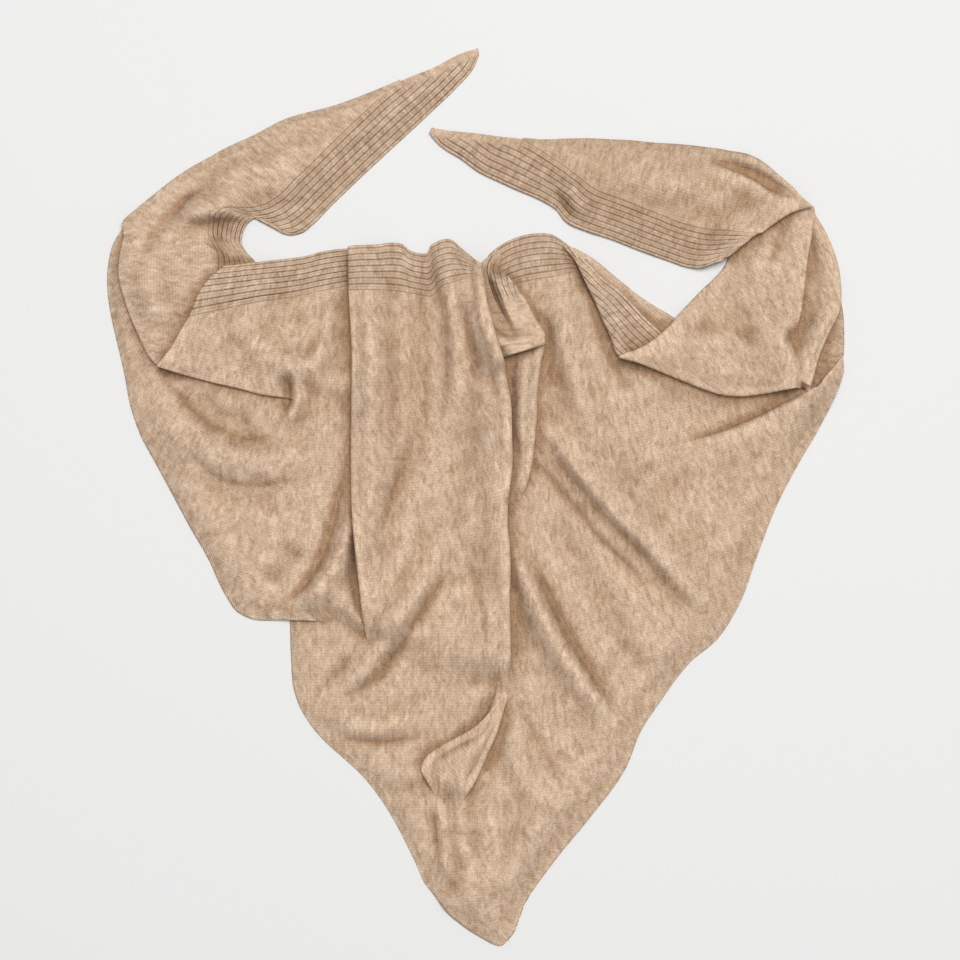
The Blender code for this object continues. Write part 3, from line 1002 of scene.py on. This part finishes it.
def make_mesh(name, parts):
    """One mesh from grids of points with their cloth coordinates and shades, welded where they meet."""
    verts, faces, uvs, shades = [], [], [], []
    count = 0
    for q, uv, extra in parts:
        n, m = q.shape[:2]
        v = np.empty((n * m, 3))
        f = q.reshape(-1, 3)
        v[:, 0] = (f[:, 0] - CENTRE_X) / 1000
        v[:, 1] = (CENTRE_Y - f[:, 1]) / 1000
        v[:, 2] = f[:, 2] / 1000
        i, j = np.meshgrid(np.arange(n - 1), np.arange(m - 1), indexing="ij")
        a = (i * m + j).ravel()
        quad = np.stack([a, a + m, a + m + 1, a + 1], 1) + count
        verts.append(v)
        faces.append(quad)
        uvs.append(uv.reshape(-1, 2) / 1000)
        shades.append(extra.reshape(-1, extra.shape[-1]))
        count += n * m
    verts, faces, uvs, shades = (np.concatenate(x) for x in (verts, faces, uvs, shades))
    # points that are in the same place become one
    key = np.round(verts / 0.00003).astype(np.int64)
    _, firsts, same = np.unique(key, axis=0, return_index=True, return_inverse=True)
    same = same.ravel()
    own = faces
    faces = same[faces]
    # drop faces that have collapsed
    s = np.sort(faces, axis=1)
    bad = (s[:, 1:] == s[:, :-1]).sum(1) > 0
    seen, kept, source = set(), [], []
    for f, o, torn in zip(faces.tolist(), own.tolist(), bad.tolist()):
        if torn:
            g, h = [], []
            for x, y in zip(f, o):
                if x not in g:
                    g.append(x)
                    h.append(y)
            if len(g) < 3:
                continue
            f, o = g, h
        k = tuple(sorted(f))
        if k not in seen:
            seen.add(k)
            kept.append(f)
            source.extend(o)
    mesh = bpy.data.meshes.new(name)
    mesh.from_pydata(verts[firsts].tolist(), [], kept)
    source = np.array(source)
    layer = mesh.uv_layers.new(name="knit")
    layer.data.foreach_set("uv", uvs[source].astype(np.float32).ravel())
    # furrow marks where the rib furrows get painted shade and bump; selvedge and along place the selvedge marks; hollow
    # is the amount of painted shade (above 0) and painted highlight (below 0)
    for k, label in enumerate(("furrow", "selvedge", "along", "hollow")):
        att = mesh.attributes.new(label, "FLOAT", "CORNER")
        att.data.foreach_set("value", shades[source][:, k].astype(np.float32))
    mesh.validate()
    mesh.update()
    bm = bmesh.new()
    bm.from_mesh(mesh)
    bmesh.ops.recalc_face_normals(bm, faces=bm.faces)
    bm.normal_update()
    if sum(f.normal.z * f.calc_area() for f in bm.faces) < 0:
        bmesh.ops.reverse_faces(bm, faces=bm.faces)
    bm.to_mesh(mesh)
    bm.free()
    mesh.shade_smooth()
    obj = bpy.data.objects.new(name, mesh)
    bpy.context.scene.collection.objects.link(obj)
    solid = obj.modifiers.new("cloth", "SOLIDIFY")
    solid.thickness = CLOTH / 1000
    solid.offset = 0.0
    return obj


# ---------------------------------------------------------------- the yarn
def knit_material(name):
    mat = bpy.data.materials.new(name)
    mat.use_nodes = True
    nt = mat.node_tree
    nodes, links = nt.nodes, nt.links
    bsdf = nodes["Principled BSDF"]

    def node(kind, **values):
        n = nodes.new(kind)
        for k, v in values.items():
            setattr(n, k, v)
        return n

    def maths(op, a, b=None, c=None):
        n = node("ShaderNodeMath", operation=op)
        for i, x in enumerate((a, b, c)):
            if x is None:
                continue
            if isinstance(x, (int, float)):
                n.inputs[i].default_value = x
            else:
                links.new(x, n.inputs[i])
        return n.outputs[0]

    uv = node("ShaderNodeUVMap", uv_map="knit")
    sep = node("ShaderNodeSeparateXYZ")
    links.new(uv.outputs[0], sep.inputs[0])
    U, V = sep.outputs[0], sep.outputs[1]

    def noise(su, sv, detail, rough, seed, dist=0.0):
        mp = node("ShaderNodeCombineXYZ")
        links.new(maths("MULTIPLY", U, 1.0 / su), mp.inputs[0])
        links.new(maths("MULTIPLY", V, 1.0 / sv), mp.inputs[1])
        mp.inputs[2].default_value = seed
        n = node("ShaderNodeTexNoise")
        n.inputs["Scale"].default_value = 1.0
        n.inputs["Detail"].default_value = detail
        n.inputs["Roughness"].default_value = rough
        n.inputs["Distortion"].default_value = dist
        links.new(mp.outputs[0], n.inputs["Vector"])
        return n.outputs["Fac"]

    streak = noise(0.0050, 0.0125, 3.0, 0.62, 3.1, 0.7)
    fine = noise(0.0021, 0.0036, 2.0, 0.65, 8.7, 0.3)
    cloud = noise(0.026, 0.040, 2.0, 0.55, 5.5, 0.5)
    fleck = noise(0.0008, 0.0011, 1.0, 0.6, 1.9)

    # stitches: courses 2.9 mm apart, each stitch a small V 2.4 mm wide
    cell = maths("FRACT", maths("MULTIPLY", U, 1.0 / 0.0024))
    arm = maths("ABSOLUTE", maths("SUBTRACT", cell, 0.5))
    wob = maths("MULTIPLY", maths("SUBTRACT", fine, 0.5), 1.3)
    row = maths("ADD", maths("ADD", maths("MULTIPLY", V, 1.0 / 0.0029), maths("MULTIPLY", arm, 0.9)), wob)
    rows = maths("ADD", maths("MULTIPLY", maths("SINE", maths("MULTIPLY", row, 2 * math.pi)), 0.5), 0.5)
    col = maths("ADD", maths("MULTIPLY", maths("COSINE", maths("MULTIPLY", arm, 4 * math.pi)), 0.5), 0.5)
    stitch = maths("ADD", maths("MULTIPLY", rows, 0.6), maths("MULTIPLY", col, 0.4))

    # melange colour
    tone = maths("ADD", maths("MULTIPLY", streak, 0.50), maths("ADD", maths("MULTIPLY", fine, 0.30), maths("MULTIPLY", fleck, 0.20)))
    ramp = node("ShaderNodeValToRGB")
    el = ramp.color_ramp.elements
    el[0].position, el[0].color = 0.34, (0.338, 0.219, 0.138, 1)
    el[1].position, el[1].color = 0.66, (0.716, 0.556, 0.426, 1)
    mid = el.new(0.50)
    mid.color = (0.538, 0.387, 0.270, 1)
    links.new(tone, ramp.inputs[0])

    furrow_at = node("ShaderNodeAttribute", attribute_name="furrow")
    selv_at = node("ShaderNodeAttribute", attribute_name="selvedge")
    along_at = node("ShaderNodeAttribute", attribute_name="along")
    # the hollow attribute holds painted shade (above 0) and painted highlight (below 0)
    painted_light_at = node("ShaderNodeAttribute", attribute_name="hollow")

    # ribs: a dark furrow each 5.87 mm from the band's inner line, a faint one between; their darkening of the colour is
    # painted shade in the rib's recesses, and the same lines dent the bump
    def comb(pitch, shift, width):
        f = maths("FRACT", maths("ADD", maths("MULTIPLY", V, 1000.0 / pitch), shift))
        x = maths("MULTIPLY", maths("SUBTRACT", f, 0.5), pitch / width)
        return maths("POWER", 2.718, maths("MULTIPLY", maths("MULTIPLY", x, x), -1.0))

    furrows = maths("MAXIMUM", comb(PITCH, 0.5, 0.78), maths("MULTIPLY", comb(PITCH, 0.0, 0.60), 0.42))
    furrows = maths("MULTIPLY", furrows, maths("ADD", 0.72, maths("MULTIPLY", fine, 0.5)))
    furrows = maths("MULTIPLY", furrows, furrow_at.outputs["Fac"])

    # selvedge: short slanted marks along the short edges
    slant = maths("SINE", maths("MULTIPLY", along_at.outputs["Fac"], 2 * math.pi / 2.7))
    slant = maths("MULTIPLY", maths("ADD", maths("MULTIPLY", slant, 0.5), 0.5), selv_at.outputs["Fac"])

    shade = maths("ADD", maths("MULTIPLY", stitch, 0.24), 0.86)
    # painted shade in the rib furrows
    shade = maths("MULTIPLY", shade, maths("SUBTRACT", 1.0, maths("MULTIPLY", furrows, 0.56)))
    shade = maths("MULTIPLY", shade, maths("ADD", 0.90, maths("MULTIPLY", cloud, 0.20)))
    shade = maths("MULTIPLY", shade, maths("SUBTRACT", 1.0, maths("MULTIPLY", slant, 0.17)))
    # painted highlight: ridge tops that stand above their surroundings are made lighter
    painted_crest_highlight = maths("MAXIMUM", maths("MULTIPLY", painted_light_at.outputs["Fac"], -1.0), 0.0)
    shade = maths("MULTIPLY", shade, maths("ADD", 0.98, maths("MULTIPLY", painted_crest_highlight, 0.09)))
    mix = node("ShaderNodeVectorMath", operation="SCALE")
    links.new(ramp.outputs[0], mix.inputs[0])
    links.new(shade, mix.inputs["Scale"])
    # painted shade: the colour is darkened towards brown down in the folds and under raised cloth, by the hollow amount
    # of how far a point lies below its surroundings
    painted_light = node("ShaderNodeMix", data_type="RGBA", blend_type="MULTIPLY")
    painted_light.inputs[7].default_value = (0.62, 0.53, 0.44, 1)
    links.new(maths("MAXIMUM", painted_light_at.outputs["Fac"], 0.0), painted_light.inputs[0])
    links.new(mix.outputs[0], painted_light.inputs[6])
    links.new(painted_light.outputs[2], bsdf.inputs["Base Color"])

    height = maths("ADD", maths("MULTIPLY", stitch, 0.6), maths("MULTIPLY", fine, 0.6))
    height = maths("ADD", height, maths("MULTIPLY", fleck, 0.3))
    height = maths("SUBTRACT", height, maths("MULTIPLY", slant, 0.5))
    height = maths("SUBTRACT", height, maths("MULTIPLY", furrows, 1.2))
    bump = node("ShaderNodeBump")
    bump.inputs["Strength"].default_value = 0.6
    bump.inputs["Distance"].default_value = 0.0009
    links.new(height, bump.inputs["Height"])
    links.new(bump.outputs[0], bsdf.inputs["Normal"])
    rough = maths("ADD", 0.84, maths("MULTIPLY", fine, 0.14))
    links.new(rough, bsdf.inputs["Roughness"])
    bsdf.inputs["Specular IOR Level"].default_value = 0.08
    bsdf.inputs["Sheen Weight"].default_value = 0.06
    bsdf.inputs["Sheen Roughness"].default_value = 0.55
    bsdf.inputs["Sheen Tint"].default_value = (1.0, 0.92, 0.82, 1)
    return mat


KNIT = knit_material("melange_knit")


# ---------------------------------------------------------------- laying it out
top = np.zeros((NX, NY))
pieces = {}
sewn = []


def to_joins(name, p):
    """Distance to the nearest line where a stretch runs on into another."""
    d = np.full(p.shape[:-1], 1e3)
    for one, other, reach, text in JOINS:
        if one == name:
            d = np.minimum(d, distance(p, points(text))[0].reshape(d.shape))
    return d


for number, (name, panels, rises, lift) in enumerate(STRETCHES):
    under = blur(widen(top, 6), 3)
    under = np.where(under > 0.01, under + STACK_GAP, 0)
    under = blur(under, 2)
    below = blur(np.where(top > 0, top, widen(top, 2)), 1)
    times = panel_stations(panels)
    grids = []
    for k, (node_name, rails, first, last) in enumerate(panels):
        a, b = rails
        t = times[k]
        width = np.linalg.norm(b - a, axis=1).max()
        cell = RIB_CELL if node_name in RIBBED or node_name == "pocket" else (3.4 if width > 500 else CELL)
        w = np.linspace(0, 1, max(3, int(round(width / cell)) + 1))
        p = loft(rails, first, last, t, w, times[2] if len(panels) == 2 and k == 0 else None)
        grids.append((node_name, rails, t, w, p))
    # the stretch's own outline, which both of its panels measure from
    outline = (
        curve(grids[0][1][0], grids[0][2][::4]),
        curve(grids[-1][1][1], grids[-1][2][::4]),
        np.concatenate([g[4][0, ::4] for g in grids]),
        np.concatenate([g[4][-1, ::4] for g in grids]),
    )
    parts, laid = [], []
    for k, (node_name, rails, t, w, p) in enumerate(grids):
        base = read(under, p)
        free = to_joins(name, p)
        away = [distance(p, e)[0].reshape(base.shape) for e in outline]
        rim = np.minimum.reduce(away)
        z = ridge(p, name) + ripple(p, number) * 0.9 + lift
        z = z * ease(rim / 38.0 + RIM_KEEP.get(name, 0.10))
        for d, rise in zip(away, rises):
            if rise:
                z = z + rise * (1 - ease(d / FOLD_REACH)) * ease((free - 8.0) / 24.0)
        for one, radius, rise, text in RIMS:
            if one == name:
                d = distance(p, smooth(text))[0].reshape(z.shape)
                z = z + rise * (1 - ease(d / FOLD_REACH)) * ease((free - 8.0) / 24.0)
        # a crease goes down to the cloth under it, and no further
        z = base + np.log1p(np.exp(np.clip(z / 0.9, -30, 30))) * 0.9
        z = z - 0.55 * (1 - ease(rim / 8.0)) * (base < 0.3)
        for one, radius, rise, text in RIMS:
            if one == name:
                d = distance(p, smooth(text))[0].reshape(z.shape)
                x = np.clip(1 - d / radius, 0, 1)
                z = z - radius * (1 - np.sqrt(1 - x * x * 0.96))
        for one, other, reach, text in JOINS:
            if one == name:
                d = distance(p, points(text))[0].reshape(z.shape)
                there = read(below, p)
                share = 1 - ease((d - 5.0) / reach)
                z = np.where(there > 0.5, z * (1 - share) + (there - CLOTH - 0.55) * share, z)
        laid.append((p, z))
        q = np.concatenate([p, (z + CLOTH / 2)[..., None]], axis=2)
        uv = wale_coordinates(p, name)
        extra = np.zeros(z.shape + (4,))
        if node_name in RIBBED:
            if node_name == "right_strip":
                d = distance(p, outline[0])[0].reshape(z.shape)
            else:
                d = rib_depth(node_name, rails, t, w)
            shade, fine_line = furrow(d)
            if RIBBED[node_name]:
                # towards the tip the furrows stop short of the short edge
                gap = np.linalg.norm(p - p[:, -1:], axis=2)
                keep = np.minimum(ease((gap - 6.0) / 5.0) + ease((t - RIBBED[node_name]) * 3.0)[:, None], 1)
                shade, fine_line = shade * keep, fine_line * keep
            q[..., 2] -= 1.2 * shade + 0.4 * fine_line
            extra[..., 0] = keep if RIBBED[node_name] else 1.0
            uv[..., 1] = BAND - d
        if node_name == "pocket":
            d, _, side = distance(p, smooth("565 242  552 234  536 233  514 238  499 246  488 257  484 268  486 280  490 294  495 306  502 321  511 337"))
            d, side = d.reshape(z.shape), side.reshape(z.shape)
            shade, fine_line = furrow(d)
            keep = (1 - ease((p[..., 1] - 300 + 0.4 * d) / 14)) * (d < 34) * (side < 0)
            q[..., 2] -= (1.1 * shade + 0.3 * fine_line) * keep
            extra[..., 0] = keep
            uv[..., 1] = BAND - d
        rail = SELVEDGE.get(name)
        if rail and k == len(grids) - 1:
            e = 0 if rail == "a" else -1
            d = np.linalg.norm(p - p[:, e][:, None], axis=2)
            run = np.concatenate([[0], np.cumsum(np.linalg.norm(np.diff(p[:, e], axis=0), axis=1))])
            extra[..., 1] = 1 - ease((d - 7.0) / 3.0)
            extra[..., 2] = run[:, None] + 0.55 * d
        parts.append((q, uv, extra))
    own = np.zeros((NX, NY))
    for p, z in laid:
        lay(own, p, z + CLOTH, CELL * 1.6)
    top = np.maximum(top, own)

    def row_rises(q, rise):
        wide = np.linalg.norm(q[:, -1, :2] - q[:, 0, :2], axis=1)
        return rise * ease((to_joins(name, q[:, -1, :2]) - 12.0) / 22.0) * ease(wide / 14.0)

    # turned edges
    if rises[1]:
        q, uv, extra = (x.copy() for x in parts[-1])
        parts[-1] = hem(q, uv, extra, row_rises(q, rises[1]), under)
    if rises[0]:
        q, uv, extra = (x[:, ::-1].copy() for x in parts[0])
        parts[0] = tuple(x[:, ::-1] for x in hem(q, uv, extra, row_rises(q, rises[0]), under))
    for end, rise in ((2, rises[2]), (3, rises[3])):
        if not rise:
            continue
        for i in range(len(parts)):
            q, uv, extra = (np.swapaxes(x, 0, 1) for x in parts[i])
            if end == 2:
                q, uv, extra = q[:, ::-1], uv[:, ::-1], extra[:, ::-1]
            q, uv, extra = hem(q.copy(), uv.copy(), extra.copy(), row_rises(q, rise), under)
            if end == 2:
                q, uv, extra = q[:, ::-1], uv[:, ::-1], extra[:, ::-1]
            parts[i] = tuple(np.swapaxes(x, 0, 1) for x in (q, uv, extra))
    sewn.append((name, parts, [g[0] for g in grids]))

# painted shade and highlight: how far each point lies below the mean height around it sets a darker, browner colour in
# folds and under raised cloth, faded out near the outline, and a lighter colour on ridge tops above it
# painted shade added to whole stretches for how the light falls on them: darker on the arms and the right outer,
# lighter on the pocket
PAINTED_LIGHT_BY_STRETCH = {"right_arm": 0.22, "left_arm": 0.06, "right_outer": 0.10, "pocket": -0.30}
near = blur(blur(top, 4), 4)
inside = np.clip((blur(blur((top > 0.01).astype(float), 4), 4) - 0.62) / 0.33, 0, 1)
for name, parts, nodes in sewn:
    for q, uv, extra in parts:
        painted_light = np.clip((read(near, q[..., :2]) - q[..., 2] - 0.5) / 5.0, -1, 1)
        extra[..., 3] = np.clip(np.where(painted_light > 0, painted_light * read(inside, q[..., :2]), painted_light) + PAINTED_LIGHT_BY_STRETCH.get(name, 0.0), -1, 1)
    obj = make_mesh("cloth_" + name, parts)
    obj.data.materials.append(KNIT)
    pieces[name] = obj
    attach(obj, "root")
    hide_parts(*nodes)

for name, panels, rises, lift in STRETCHES:
    obj = pieces[name]
    co = np.array([v.co for v in obj.data.vertices])
    lo, hi = co.min(0), co.max(0)
    area = sum(f.area for f in obj.data.polygons)
    w_, l_ = float(hi[0] - lo[0]), float(hi[1] - lo[1])
    scale = max(1.0, math.sqrt(1.02 * area / (w_ * l_)))
    w_, l_ = w_ * scale, l_ * scale
    if area < 0.31 * w_ * l_:
        s = math.sqrt(area / (0.34 * w_ * l_))
        w_, l_ = w_ * s, l_ * s

# ---------------------------------------------------------------- table, light, camera
floor_mesh = bpy.data.meshes.new("table")
s = 30.0
floor_mesh.from_pydata([(-s, -s, 0), (s, -s, 0), (s, s, 0), (-s, s, 0)], [], [(0, 1, 2, 3)])
floor = bpy.data.objects.new("table", floor_mesh)
bpy.context.scene.collection.objects.link(floor)
floor.location.z = -0.0002
paper = bpy.data.materials.new("paper")
paper.use_nodes = True
pb = paper.node_tree.nodes["Principled BSDF"]
pb.inputs["Base Color"].default_value = (0.655, 0.655, 0.65, 1)
pb.inputs["Roughness"].default_value = 0.9
pb.inputs["Specular IOR Level"].default_value = 0.1
floor_mesh.materials.append(paper)

world = bpy.data.worlds.new("studio")
bpy.context.scene.world = world
world.use_nodes = True
bg = world.node_tree.nodes["Background"]
bg.inputs["Color"].default_value = (1.0, 1.0, 1.0, 1)
bg.inputs["Strength"].default_value = 0.29


def lamp(name, size, power, where, towards):
    data = bpy.data.lights.new(name, "AREA")
    data.shape = "SQUARE"
    data.size = size
    data.energy = power
    o = bpy.data.objects.new(name, data)
    bpy.context.scene.collection.objects.link(o)
    o.location = where
    d = np.array(towards, float) - np.array(where, float)
    o.rotation_mode = "QUATERNION"
    o.rotation_quaternion = Vector(d).to_track_quat("-Z", "Y")
    return o


lamp("key", 2.6, 362.0, (0.45, 1.15, 5.6), (0, 0, 0))

cam_data = bpy.data.cameras.new("camera")
cam = bpy.data.objects.new("camera", cam_data)
bpy.context.scene.collection.objects.link(cam)
cam.location = (0.004, 0.017, 2.6)
cam.rotation_euler = (0, 0, 0)
cam_data.sensor_width = 36.0
cam_data.lens = 36.0 * 2.592 / 0.96
cam_data.clip_end = 100
bpy.context.scene.camera = cam
bpy.context.scene.view_settings.view_transform = "Standard"
bpy.context.scene.view_settings.look = "None"
bpy.context.scene.view_settings.exposure = 0.0
